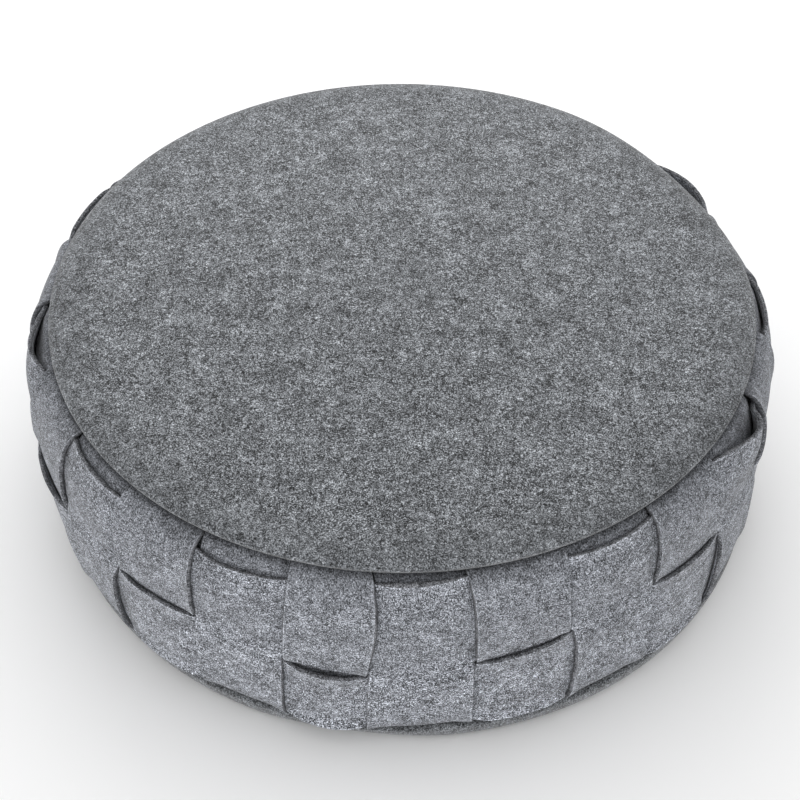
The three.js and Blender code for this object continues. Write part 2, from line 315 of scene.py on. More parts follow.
@dataclass(frozen=True)
class Weave:
    """Where every strip of the side wall lies.

    Where two strips cross they lie one strip apart, and each swings past the other's edges to the
    other side, so their distance along the wall's normal stays the same.
    """

    wall: Wall
    columns: tuple[Column, ...] = COLUMNS
    first_bearing: float = -92.5
    foot_drop: float = 126 * MM
    ease: float = 13 * MM
    twist: float = 2.4 * MM
    slit_closing: float = 0.9
    hoop_slit: float = 1.0 * MM
    corner_relief: float = 0.45 * MM
    corner_reach: float = 5 * MM
    bow_power: float = 1.4
    bow_skew: float = 0.65
    slant_reach: float = 4 * MM
    lift_power: float = 2.0
    curl_reach: float = 7 * MM
    peel_reach: float = 6 * MM
    peel_power: float = 1.0
    hem_reach: float = 10 * MM
    ripple: float = 0.5 * MM
    ripple_size: float = 34 * MM
    wobble: float = 0.3 * MM
    wobble_size: float = 10 * MM
    wobble_step: tuple[float, float] = (3.7, 1.9)
    split_edge: int = 100
    top_edge: int = 103
    foot_edge: int = 104

    @property
    def level(self) -> float:
        """How far the middle of a strip lies from the wall's middle where it crosses another."""
        return (FELT + CLEAR) / 2

    @property
    def turn(self) -> float:
        """How many degrees one degree of the table's widths stands for, near 1."""
        return FULL_TURN / sum(row.width for row in self.columns)

    def pitch(self, column: int) -> float:
        """Return the width of a column on the wall's fullest part."""
        return math.radians(self.columns[column].width * self.turn) * self.wall.fullest_radius

    def run(self, column: int, drop: float, row: Row) -> float:
        """Return the share of the way down a row at a column's first side.

        Args:
            column: The column's number, which may be one past the last.
            drop: Distance below the top seam.
            row: The row.

        Returns:
            A share, 0 at the row's upper end and 1 at its lower end.
        """
        split = self.columns[column % len(self.columns)].split * MM
        if row is Row.UPPER:
            return min(1.0, max(0.0, drop / split))
        return min(1.0, max(0.0, (drop - split) / (self.wall.height - split)))

    def side(self, column: int, drop: float) -> float:
        """Return the bearing of a column's first side.

        Args:
            column: The column's number, which may run past the last one.
            drop: Distance below the top seam, because a strip may lean and bow.

        Returns:
            The bearing in degrees.
        """
        turns, index = divmod(column, len(self.columns))
        found = self.columns[index]
        start = self.first_bearing + self.turn * sum(other.width for other in self.columns[:index])
        row = Row.UPPER if drop < found.split * MM else Row.LOWER
        run = self.run(column, drop, row)
        if row is Row.UPPER:
            lean, bow = lerp(found.top, found.middle, run), found.bow_upper
        else:
            lean, bow = lerp(found.middle, found.foot, run), found.bow_lower
        bowed = math.degrees(bow * MM * math.sin(math.pi * run**self.bow_skew) / self.wall.fullest_radius)
        return start + turns * FULL_TURN + lean + bowed

    def along(self, name: str, column: int, share: float) -> float:
        """Return a column's named length part of the way to the next column's.

        Args:
            name: The table's column of numbers.
            column: The weave's column.
            share: The share of the way across it.

        Returns:
            The length in metres.
        """
        start = getattr(self.columns[column], name)
        end = getattr(self.columns[(column + 1) % len(self.columns)], name)
        return lerp(start, end, share) * MM

    def bulge(self, column: int, share: float) -> float:
        """Return how much of a free edge's slack shows at a share of the way across."""
        skewed = share ** (math.log(0.5) / math.log(self.columns[column].peak))
        return max(0.0, math.sin(math.pi * skewed)) ** self.bow_power

    def lip(self, column: int, share: float) -> float:
        """Return the drop of the upper hoop's top edge, which hangs down where it is outside.

        Args:
            column: The weave's column.
            share: The share of the way across it.

        Returns:
            The edge's distance below the top seam.
        """
        edge = self.along("lip", column, share)
        if self.outside(column, Row.UPPER) > 0:
            edge += self.columns[column].sag * MM * self.bulge(column, share)
        return edge

    def split(self, column: int, share: float) -> float:
        """Return the drop at which the two hoops part."""
        return self.along("split", column, share)

    def outside(self, column: int, row: Row) -> int:
        """Return 1 where the hoop of a row lies outside the upright, and -1 where it is behind."""
        return row.value if column % 2 == 0 else -row.value

    def wobbled(self, along: float, edge: int) -> float:
        """Return how far a hand-cut edge strays at a distance along it, the same for one edge."""
        spot = Vector((along / self.wobble_size, *(edge * step for step in self.wobble_step)))
        return self.wobble * noise.noise(spot)

    def slit(self, column: int, drop: float, row: Row) -> float:
        """Return how far the uprights stay back from a column's first side.

        Args:
            column: The column's number.
            drop: Distance below the top seam, because a slit closes towards the seams.
            row: The row that the drop lies in.

        Returns:
            Half the slit's width there.
        """
        found = self.columns[column % len(self.columns)]
        half = (found.slit_upper if row is Row.UPPER else found.slit_lower) * MM / 2
        to_seam = min(drop, self.wall.height - drop)
        closed = self.slit_closing * ease_out(to_seam, self.ease)
        relief = self.corner_relief * ease_out(abs(drop - found.split * MM), self.corner_reach)
        return half * (1 - closed) + relief

    def rippled(self, bearing: float, drop: float) -> float:
        """Return how far the soft filling pushes both strips out at a place of the wall.

        Args:
            bearing: The place's bearing.
            drop: Its distance below the top seam.

        Returns:
            How far out both strips lie.
        """
        angle = math.radians(bearing)
        spot = Vector((math.sin(angle), -math.cos(angle), 0.0)) * self.wall.fullest_radius
        spot.z = drop
        return self.ripple * noise.noise(spot / self.ripple_size)

    def depth(self, spot: Spot) -> tuple[float, float, float]:
        """Return how near a spot is to its row's ends and to its column's sides.

        Args:
            spot: The place in the weave.

        Returns:
            Two shares, 1 at the end or at the side and 0 well inside, and the distance to the
            nearest side.
        """
        split = self.split(spot.column, spot.share)
        if spot.row is Row.UPPER:
            end = min(spot.drop, split - spot.drop)
        else:
            end = min(spot.drop - split, self.wall.height - spot.drop)
        inset = min(spot.share, 1 - spot.share) * self.pitch(spot.column)
        return ease_out(end, self.ease), ease_out(inset, self.ease), inset

    def peeled(self, spot: Spot, inset: float) -> float:
        """Return how far an upright's side edge stands off where it lies over a hoop.

        Args:
            spot: The place in the weave.
            inset: Its distance to the column's nearest side.

        Returns:
            How far the upright stands off.
        """
        if self.outside(spot.column, spot.row) > 0:
            return 0.0
        column = spot.column if spot.share < 0.5 else (spot.column + 1) % len(self.columns)
        found = self.columns[column]
        peel = found.peel_upper if spot.row is Row.UPPER else found.peel_lower
        run = max(0.0, math.sin(math.pi * self.run(column, spot.drop, spot.row))) ** self.peel_power
        return peel * MM * run * max(0.0, 1 - inset / self.peel_reach) ** 2

    def upright_level(self, spot: Spot) -> float:
        """Return how far out the middle of an upright lies at a spot.

        Args:
            spot: The place in the weave.

        Returns:
            Its distance from the wall's middle, less than none where it is behind a hoop.
        """
        near_end, near_side, inset = self.depth(spot)
        column_sign = 1 if spot.column % 2 == 0 else -1
        from_split = self.split(spot.column, spot.share) - spot.drop
        turn = math.sin(math.pi / 2 * max(-1.0, min(1.0, from_split / self.twist)))
        level = -column_sign * self.level * (spot.row.value * (1 - near_end) + turn * near_side)
        to_seam = min(spot.drop, self.wall.height - spot.drop)
        return level + self.peeled(spot, inset) - self.wall.tucked(to_seam)

    def hoop_level(self, spot: Spot) -> float:
        """Return how far out the middle of a hoop lies at a spot, with its free edge's gape.

        Args:
            spot: The place in the weave.

        Returns:
            Its distance from the wall's middle, less than none where it is behind an upright.
        """
        near_end, near_side, inset = self.depth(spot)
        sign = self.outside(spot.column, spot.row)
        turn = math.sin(math.pi / 2 * min(1.0, inset / self.twist))
        level = sign * self.level * ((1 - near_side) + turn * near_end)
        if sign < 0:
            return level
        row = self.columns[spot.column]
        if spot.row is Row.UPPER:
            edge, root = self.lip(spot.column, spot.share), self.split(spot.column, spot.share)
        else:
            edge, root = self.split(spot.column, spot.share), self.foot_drop
        lift = max(0.0, (root - spot.drop) / (root - edge)) ** self.lift_power
        curl = max(0.0, 1 - (spot.drop - edge) / self.curl_reach) ** 2
        hem = max(0.0, 1 - (root - spot.drop) / self.hem_reach) ** 2
        slack = self.bulge(spot.column, spot.share)
        return level + slack * MM * (row.gape * lift + row.curl * curl + row.hem * hem)

    def slanted(self, spot: Spot, inset: float) -> float:
        """Return how slanted a hoop's thickness is near its top edge, where it lies outside.

        Args:
            spot: The place in the weave.
            inset: Its distance below the hoop's top edge.

        Returns:
            How far the outer face lies below the inner one, as a share of the felt.
        """
        if self.outside(spot.column, spot.row) < 0:
            return 0.0
        slack = self.bulge(spot.column, spot.share)
        return self.columns[spot.column].slant * slack * ease_out(inset, self.slant_reach)

    def place(self, spot: Spot, outward: float) -> Vector:
        """Return the point at a spot of the weave.

        Args:
            spot: The place in the weave.
            outward: How far out along the wall's normal the point lies.

        Returns:
            The point, with the felt's ripples.
        """
        start, end = self.side(spot.column, spot.drop), self.side(spot.column + 1, spot.drop)
        bearing = lerp(start, end, spot.share)
        return self.wall.place(bearing, spot.drop, outward + self.rippled(bearing, spot.drop))


# Node trees


class Number:
    """A number in a node tree, on which Python's own operators add Math nodes."""

    def __init__(self, graph: "Graph", socket: bpy.types.NodeSocket) -> None:
        """Keep the tree and the socket that gives the number."""
        self.graph = graph
        self.socket = socket

    def _with(self, operation: str, *others: "Number | float", first: bool = True) -> "Number":
        """Return a Math node's result with this number as its first or second value."""
        values = [self, *others] if first else [*others, self]
        return self.graph.maths(operation, *values)

    def __add__(self, other: "Number | float") -> "Number":
        """Add."""
        return self._with("ADD", other)

    __radd__ = __add__

    def __sub__(self, other: "Number | float") -> "Number":
        """Subtract."""
        return self._with("SUBTRACT", other)

    def __rsub__(self, other: "Number | float") -> "Number":
        """Subtract from."""
        return self._with("SUBTRACT", other, first=False)

    def __mul__(self, other: "Number | float") -> "Number":
        """Multiply."""
        return self._with("MULTIPLY", other)

    __rmul__ = __mul__

    def __abs__(self) -> "Number":
        """Drop the sign."""
        return self._with("ABSOLUTE")

    def clamped(self) -> "Number":
        """Keep the number from 0 to 1."""
        return self.graph.maths("ADD", self, 0.0, clamp=True)

    def ramp(self, low: float, high: float) -> "Number":
        """Return a smooth step of the number.

        Args:
            low: Where the step is 0.
            high: Where it is 1.

        Returns:
            A number from 0 to 1.
        """
        settings = {"interpolation_type": "SMOOTHSTEP"}
        values = {"Value": self, "From Min": low, "From Max": high}
        return self.graph.number("ShaderNodeMapRange", settings, values, "Result")


class Graph:
    """A material's node tree, built through one method for nodes and one for Math nodes."""

    def __init__(self, name: str) -> None:
        """Start an empty tree.

        Args:
            name: The material's name.
        """
        self.material = bpy.data.materials.new(name)
        self.material.use_nodes = True
        self.tree = self.material.node_tree
        self.tree.nodes.clear()

    def node(self, kind: str, settings: dict[str, object], values: dict[str, object]) -> bpy.types.Node:
        """Add a node.

        Args:
            kind: The node's type.
            settings: The node's own properties, which are set first.
            values: What each named or numbered socket takes: a plain value or a link.

        Returns:
            The new node.
        """
        made = self.tree.nodes.new(kind)
        for name, value in settings.items():
            setattr(made, name, value)
        for name, value in values.items():
            source = value.socket if isinstance(value, Number) else value
            if isinstance(source, bpy.types.NodeSocket):
                self.tree.links.new(source, made.inputs[name])
            else:
                made.inputs[name].default_value = source
        return made

    def number(
        self, kind: str, settings: dict[str, object], values: dict[str, object], output: str
    ) -> Number:
        """Add a node and return one of its outputs as a number."""
        return Number(self, self.node(kind, settings, values).outputs[output])

    def maths(self, operation: str, *values: Number | float, clamp: bool = False) -> Number:
        """Add a Math node on values in their order, and return its result, clamped on request."""
        settings = {"operation": operation, "use_clamp": clamp}
        return self.number("ShaderNodeMath", settings, dict(enumerate(values)), "Value")

    def vector(self, operation: str, first: object, second: object) -> bpy.types.NodeSocket:
        """Add a Vector Math node on two vectors and return its result."""
        return self.node("ShaderNodeVectorMath", {"operation": operation}, {0: first, 1: second}).outputs[0]


class Coordinates(Enum):
    """What a felt's pattern follows."""

    BODY = "Object"
    CLOTH = "UV"


@dataclass(frozen=True)
class Felt:
    """Thick needled felt: light and dark fibres laid every way, matted into a cloudy grey."""

    name: str
    colour: tuple[float, float, float]
    coordinates: Coordinates
    contrast: float = 1.0
    edge_light: float = 0.0
    edge_reach: tuple[float, float] = (0.25 * MM, 1.3 * MM)
    roughness: float = 0.97
    sheen: float = 0.3
    strength: float = 1.06
    darkest: float = 0.25
    inner_shade: float = 0.0
    # Painted shade: a dark line along each seam and a softer dimming beside it, read from the distance to
    # the seam
    seam_line_shade: float = 0.45
    line_reach: float = 1.6 * MM
    seam_shade: float = 0.06
    seam_reach: float = 12 * MM
    fibre_size: float = 2.4 * MM
    fibre_sharpness: float = 7.0
    fibre_detail: float = 2.0
    fibre_roughness: float = 0.55
    fibre_curl: float = 0.6
    finer: float = 0.7
    coarser: float = 1.2
    pale_fibres: float = 0.32
    dark_fibres: float = 0.36
    seeds: tuple[float, float, float] = (0.11, 0.37, 0.73)
    seed_step: tuple[float, float, float] = (1.0, 0.7, 1.3)
    cloud_roughness: float = 0.6
    grain_size: float = 0.75 * MM
    nap_size: float = 1.4 * MM
    mottle_size: float = 4.5 * MM
    cloud_size: float = 16 * MM
    grain: float = 2.9
    nap: float = 0.8
    mottle: float = 0.9
    cloud: float = 0.62
    relief: float = 0.18 * MM
    mottle_relief: float = 0.8
    bump: float = 0.6
    sheen_roughness: float = 0.5
    gloss: float = 0.15
    calm: float = 0.32
    calm_reach: float = 32 * MM
    foot_contrast: float = 0.0
    foot_reach: tuple[float, float] = (45 * MM, 105 * MM)

    def streaks(self, graph: Graph, place: object, size: float, seed: float) -> Number:
        """Return thin curly lines, 1 on a fibre's middle and 0 between the fibres.

        Args:
            graph: The material's tree.
            place: The pattern's coordinates.
            size: The size of a curl.
            seed: Which of the patterns it is.

        Returns:
            The lines' strength.
        """
        values = {
            "Vector": graph.vector("ADD", place, tuple(seed * step for step in self.seed_step)),
            "Scale": 1 / size,
            "Detail": self.fibre_detail,
            "Roughness": self.fibre_roughness,
            "Distortion": self.fibre_curl,
        }
        wave = graph.number("ShaderNodeTexNoise", {}, values, "Fac")
        return (1 - abs(wave - NOISE_MIDDLE) * (2 * self.fibre_sharpness)).clamped()

    def clouds(self, graph: Graph, place: object, size: float, detail: float = 2.0) -> Number:
        """Return soft noise about 0, of a size."""
        values = {"Vector": place, "Scale": 1 / size, "Detail": detail, "Roughness": self.cloud_roughness}
        return graph.number("ShaderNodeTexNoise", {}, values, "Fac") - NOISE_MIDDLE

    def lower(self, graph: Graph) -> Number:
        """Return where the lower part of the cushion is, on which the felt's pattern is drawn with more
        contrast.

        Args:
            graph: The material's tree.

        Returns:
            A number, 1 on the lower part and 0 on the upper one.
        """
        place = graph.node("ShaderNodeTexCoord", {}, {}).outputs["Object"]
        height = graph.number("ShaderNodeSeparateXYZ", {}, {"Vector": place}, "Z")
        return 1 - height.ramp(*self.foot_reach)

    def carried(self, graph: Graph, name: str) -> Number:
        """Return a number that the piece's faces carry, such as the distance to a seam."""
        return graph.number("ShaderNodeAttribute", {"attribute_name": name}, {}, "Fac")

    def build(self) -> bpy.types.Material:
        """Build the felt.

        Returns:
            Its material.
        """
        graph = Graph(self.name)
        source = graph.node("ShaderNodeTexCoord", {}, {}).outputs[self.coordinates.value]
        sizes = self.fibre_size, self.fibre_size * self.finer, self.fibre_size * self.coarser
        pale, finer, dark = (
            self.streaks(graph, source, size, seed) for size, seed in zip(sizes, self.seeds)
        )
        grain = self.clouds(graph, source, self.grain_size, 1.0)
        nap = self.clouds(graph, source, self.nap_size, 1.0)
        mottle = self.clouds(graph, source, self.mottle_size)
        cloud = self.clouds(graph, source, self.cloud_size)
        fibres = pale * self.pale_fibres + finer * self.pale_fibres - dark * self.dark_fibres
        fine = fibres + grain * self.grain + nap * self.nap
        to_seam = self.carried(graph, "crease")
        calmed = 1 - (1 - to_seam.ramp(0.0, self.calm_reach)) * self.calm
        pattern = fine + mottle * self.mottle + cloud * self.cloud
        tone = pattern * calmed * (self.contrast * self.strength)
        if self.foot_contrast:
            tone = tone * (self.lower(graph) * self.foot_contrast + 1)
        # A lighter line along the cut edges: partly the fuzz of the cut felt, partly a painted highlight
        # where the rounded edge catches light
        if self.edge_light:
            at_edge = 1 - self.carried(graph, "edge").ramp(*self.edge_reach)
            tone = tone + at_edge * self.edge_light
        # Painted shade at the seams: a dark line on the crease and a softer dimming beside it
        line = (1 - to_seam.ramp(0.0, self.line_reach)) * self.seam_line_shade
        painted_shade = (1 - to_seam.ramp(0.0, self.seam_reach)) * self.seam_shade
        seen = graph.maths("MAXIMUM", tone + 1, self.darkest)
        shade = graph.maths("POWER", seen, EYE) * (1 - line - painted_shade)
        # Painted shade: a cut edge is darkened towards the inner face, where it meets the strip beneath
        if self.inner_shade:
            inner = self.carried(graph, "inner")
            shade = shade * (1 - inner * inner * self.inner_shade)
        settings = {"operation": "SCALE"}
        scaled = {0: (*self.colour,), "Scale": shade}
        colour = graph.node("ShaderNodeVectorMath", settings, scaled).outputs[0]
        height = fine + mottle * self.mottle_relief
        values = {"Strength": self.bump, "Distance": self.relief, "Height": height}
        bump = graph.node("ShaderNodeBump", {}, values)
        values = {
            "Base Color": colour,
            "Roughness": self.roughness,
            "Sheen Weight": self.sheen,
            "Sheen Roughness": self.sheen_roughness,
            "Specular IOR Level": self.gloss,
            "Normal": bump.outputs["Normal"],
        }
        shader = graph.node("ShaderNodeBsdfPrincipled", {}, values)
        graph.node("ShaderNodeOutputMaterial", {}, {"Surface": shader.outputs["BSDF"]})
        return graph.material


@dataclass(frozen=True)
class Paper:
    """The studio's pale seamless floor."""

    colour: tuple[float, float, float] = (0.93, 0.93, 0.93)
    roughness: float = 0.9
    gloss: float = 0.1

    def build(self) -> bpy.types.Material:
        """Build the floor's paper.

        Returns:
            Its material.
        """
        graph = Graph("studio_paper")
        values = {
            "Base Color": (*self.colour, 1.0),
            "Roughness": self.roughness,
            "Specular IOR Level": self.gloss,
        }
        shader = graph.node("ShaderNodeBsdfPrincipled", {}, values)
        graph.node("ShaderNodeOutputMaterial", {}, {"Surface": shader.outputs["BSDF"]})
        return graph.material


# The panel felt is darker than the strip felt; part of that is painted shade, the top panel taking less
# light than the side wall
PANEL_FELT = Felt("panel_felt", (0.0915, 0.0963, 0.103), Coordinates.BODY, contrast=1.3)
STRIP_FELT = Felt(
    "strip_felt",
    (0.134, 0.1403, 0.155),
    Coordinates.CLOTH,
    contrast=1.08,
    edge_light=0.2,
    line_reach=4.5 * MM,
    seam_shade=0.22,
    sheen=0.15,
    foot_contrast=0.27,
)
# The cut-edge felt is darker than the strip felt: partly the end-on fibres of a cut, partly painted shade
# of the narrow slots the cut edges face
CUT_FELT = Felt(
    "cut_edge_felt", (0.108, 0.111, 0.120), Coordinates.BODY, contrast=0.8, sheen=0.05, inner_shade=0.92
)


@dataclass
class Finishes:
    """The materials of the cushion, made once."""

    panel: bpy.types.Material = field(default_factory=PANEL_FELT.build)
    strip: bpy.types.Material = field(default_factory=STRIP_FELT.build)
    cut: bpy.types.Material = field(default_factory=CUT_FELT.build)


# Pieces


def finish_piece(
    piece: bpy.types.Object, materials: list[bpy.types.Material], slot: str, *nodes: str
) -> bpy.types.Object:
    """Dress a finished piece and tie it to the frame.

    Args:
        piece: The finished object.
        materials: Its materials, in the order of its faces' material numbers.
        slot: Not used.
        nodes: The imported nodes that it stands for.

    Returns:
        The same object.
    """
    for material in materials:
        piece.data.materials.append(material)
    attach(piece, BODY)
    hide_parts(*nodes)
    log.info("%s: %d faces", piece.name, len(piece.data.polygons))
    return piece


def mesh_object(name: str, bm: bmesh.types.BMesh) -> bpy.types.Object:
    """Turn a bmesh into a smooth-shaded object at the origin.

    Args:
        name: The object's name.
        bm: The bmesh, which is freed.

    Returns:
        The new object, linked to the scene.
    """
    for face in bm.faces:
        face.smooth = True
    mesh = bpy.data.meshes.new(name)
    bm.to_mesh(mesh)
    bm.free()
    piece = bpy.data.objects.new(name, mesh)
    bpy.context.scene.collection.objects.link(piece)
    return piece


class Mark(NamedTuple):
    """What a felt slab knows of one crossing of its lines."""

    place: Vector  # its point on the slab's middle surface
    cloth: tuple[float, float]  # its place on the flat cloth
    edge: float  # its distance to the nearest cut edge
    crease: float = 1.0  # its distance to the nearest seam
    slant: float = 0.0  # how far its outer face lies below its inner one, as a share of the felt


@dataclass
class Slab:
    """A slab of felt over a grid of lines, with rounded cut edges."""

    name: str
    across: int
    down: int
    mark: Callable[[int, int], Mark]
    ring: bool = False
    edge_round: float = 0.55 * MM
    edge_segments: int = 2

    def facing_out(self, vert: bmesh.types.BMVert) -> Vector:
        """Return a vertex's normal, pointing away from the cushion's axis."""
        away = vert.normal.x * vert.co.x + vert.normal.y * vert.co.y
        return vert.normal.copy() if away > 0 else -vert.normal

    def build(self) -> bpy.types.Object:
        """Build the slab.

        Returns:
            An object whose cut edges have material number 1.
        """
        bm = bmesh.new()
        uv = bm.loops.layers.uv.new("cloth")
        line = bm.verts.layers.int.new("line")
        level = bm.verts.layers.int.new("level")
        edge = bm.verts.layers.float.new("edge")
        crease = bm.verts.layers.float.new("crease")
        inner = bm.verts.layers.float.new("inner")
        # Each vertex carries its line and level, so that its mark is found again after the weld
        bmesh.ops.create_grid(bm, x_segments=self.across, y_segments=self.down, size=0.5)
        marks: dict[tuple[int, int], Mark] = {}
        for vert in bm.verts:
            spot = round((vert.co.x + 0.5) * self.across), round((0.5 - vert.co.y) * self.down)
            marks[spot] = self.mark(*spot)
            vert[line], vert[level] = spot
            vert[edge], vert[crease] = marks[spot].edge, marks[spot].crease
        for face in bm.faces:
            for loop in face.loops:
                loop[uv].uv = marks[loop.vert[line], loop.vert[level]].cloth
        for vert in bm.verts:
            vert.co = marks[vert[line], vert[level]].place
        if self.ring:
            bmesh.ops.remove_doubles(bm, verts=bm.verts[:], dist=WELD)
        # The outer face is lifted off, and both faces move half the felt's thickness apart
        bm.normal_update()
        outward = {}
        for vert in bm.verts:
            spot = vert[line], vert[level]
            outward[spot] = self.facing_out(vert) - Vector((0, 0, marks[spot].slant))
        front = bmesh.ops.extrude_face_region(bm, geom=bm.faces[:])["geom"]
        outer = {item for item in front if isinstance(item, bmesh.types.BMVert)}
        for vert in bm.verts:
            vert[inner] = float(vert not in outer)
            half = FELT / 2 if vert in outer else -FELT / 2
            vert.co += outward[vert[line], vert[level]] * half
        # A face between the two layers is a cut edge, and its corners are rounded
        for face in bm.faces:
            layers = {vert in outer for vert in face.verts}
            face.material_index = int(len(layers) == 2)
        bmesh.ops.recalc_face_normals(bm, faces=bm.faces[:])
        corners = [
            item for item in bm.edges if len({face.material_index for face in item.link_faces}) == 2
        ]
        bmesh.ops.bevel(
            bm,
            geom=corners,
            offset=self.edge_round,
            offset_type="OFFSET",
            segments=self.edge_segments,
            profile=0.5,
            affect="EDGES",
            material=-1,
            clamp_overlap=True,
        )
        return mesh_object(self.name, bm)


@dataclass
class Strips:
    """The 24 uprights and the two hoops of the side wall."""

    weave: Weave
    finishes: Finishes
    rests_on: str
    lines: int = 26
    row_levels: int = 26
    side_crowding: float = 0.72
    seam_allowance: float = 10 * MM
    seam_gap: float = 0.2 * MM
    hoop_width: float = 60 * MM
    cloth_step: float = 0.131
    hoop_cloth_steps: int = 7
    slot: str = "strip_felt"

    def crowd(self, share: float) -> float:
        """Return a share moved towards the nearer end, so that lines crowd at the edges."""
        return share - self.side_crowding * math.sin(2 * math.pi * share) / (2 * math.pi)

    def upright_mark(self, column: int, line: int, level: int) -> Mark:
        """Describe one crossing of an upright's lines.

        Args:
            column: The upright's column.
            line: The number of the line across, from the first side.
            level: The number of the level, from the top seam.

        Returns:
            The mark of that crossing.
        """
        weave, wall = self.weave, self.weave.wall
        across = self.crowd(line / self.lines)
        split = weave.split(column, across)
        row = Row.UPPER if level <= self.row_levels else Row.LOWER
        if row is Row.UPPER:
            drop = lerp(self.seam_gap, split, self.crowd(level / self.row_levels))
        else:
            down = self.crowd((level - self.row_levels) / self.row_levels)
            drop = lerp(split, wall.height - self.seam_gap, down)
        pitch = weave.pitch(column)
        first = weave.slit(column, drop, row) + abs(weave.wobbled(drop, 2 * column))
        last = weave.slit(column + 1, drop, row) + abs(weave.wobbled(drop, 2 * column + 1))
        inset = lerp(first, pitch - last, across)
        spot = Spot(column, inset / pitch, drop, row)
        outward = weave.upright_level(spot)
        edge = min(inset - first, pitch - last - inset, drop, wall.height - drop)
        cloth = (inset + column * self.cloth_step, drop + column * 2 * self.cloth_step)
        crease = min(drop, wall.height - drop)
        return Mark(weave.place(spot, outward), cloth, max(0.0, edge), crease)

    def upright(self, column: int) -> bpy.types.Object:
        """Build one upright strip, from the top panel's rim to the bottom one's.

        Args:
            column: Its column.

        Returns:
            The finished strip.
        """
        node = f"upright_{column + 1:02d}"
        slab = Slab(
            f"felt_{node}",
            self.lines,
            2 * self.row_levels,
            lambda line, level: self.upright_mark(column, line, level),
        )
        piece = finish_piece(slab.build(), [self.finishes.strip, self.finishes.cut], self.slot, node)
        slit = self.weave.columns[column].slit_upper * MM
        width = self.weave.pitch(column) - slit
        length = self.weave.wall.length() + 2 * self.seam_allowance
        return piece

    def hoop_mark(self, row: Row, line: int, level: int) -> Mark:
        """Describe one crossing of a hoop's lines.

        Args:
            row: The hoop's row.
            line: The number of the line across, counted right round the cushion.
            level: The number of the level, from the hoop's top edge.

        Returns:
            The mark of that crossing.
        """
        weave = self.weave
        count = len(weave.columns)
        column, step = divmod(line, self.lines)
        turns, column = divmod(column, count)
        share = self.crowd(step / self.lines)
        pitch = weave.pitch(column)
        inset = min(share, 1 - share) * pitch
        relief = weave.corner_relief * ease_out(inset, weave.corner_reach)
        along = sum(weave.pitch(index) for index in range(column)) + share * pitch
        slit = weave.hoop_slit / 2 + relief + abs(weave.wobbled(along, weave.split_edge + row.value))
        top, foot = weave.lip(column, share), weave.foot_drop
        if row is Row.UPPER:
            top += weave.wobbled(along, weave.top_edge)
            foot = weave.split(column, share) - slit
        else:
            top = weave.split(column, share) + slit
            foot += weave.wobbled(along, weave.foot_edge)
        drop = lerp(top, foot, self.crowd(level / self.row_levels))
        spot = Spot(column, share, drop, row)
        outward = weave.hoop_level(spot)
        lap = turns * math.tau * weave.wall.fullest_radius
        cloth = (along + lap, drop + row.value * self.hoop_cloth_steps * self.cloth_step)
        slant = weave.slanted(spot, drop - top)
        return Mark(weave.place(spot, outward), cloth, min(drop - top, foot - drop), slant=slant)

    def hoop(self, row: Row) -> bpy.types.Object:
        """Build one hoop, right round the cushion.

        Args:
            row: Its row.

        Returns:
            The finished hoop.
        """
        node = f"hoop_{row.name.lower()}"
        slab = Slab(
            f"felt_{node}",
            self.lines * len(self.weave.columns),
            self.row_levels,
            lambda line, level: self.hoop_mark(row, line, level),
            ring=True,
        )
        piece = finish_piece(slab.build(), [self.finishes.strip, self.finishes.cut], self.slot, node)
        return piece

    def build(self) -> None:
        """Build all the strips."""
        for column in range(len(self.weave.columns)):
            self.upright(column)
        for row in Row:
            self.hoop(row)


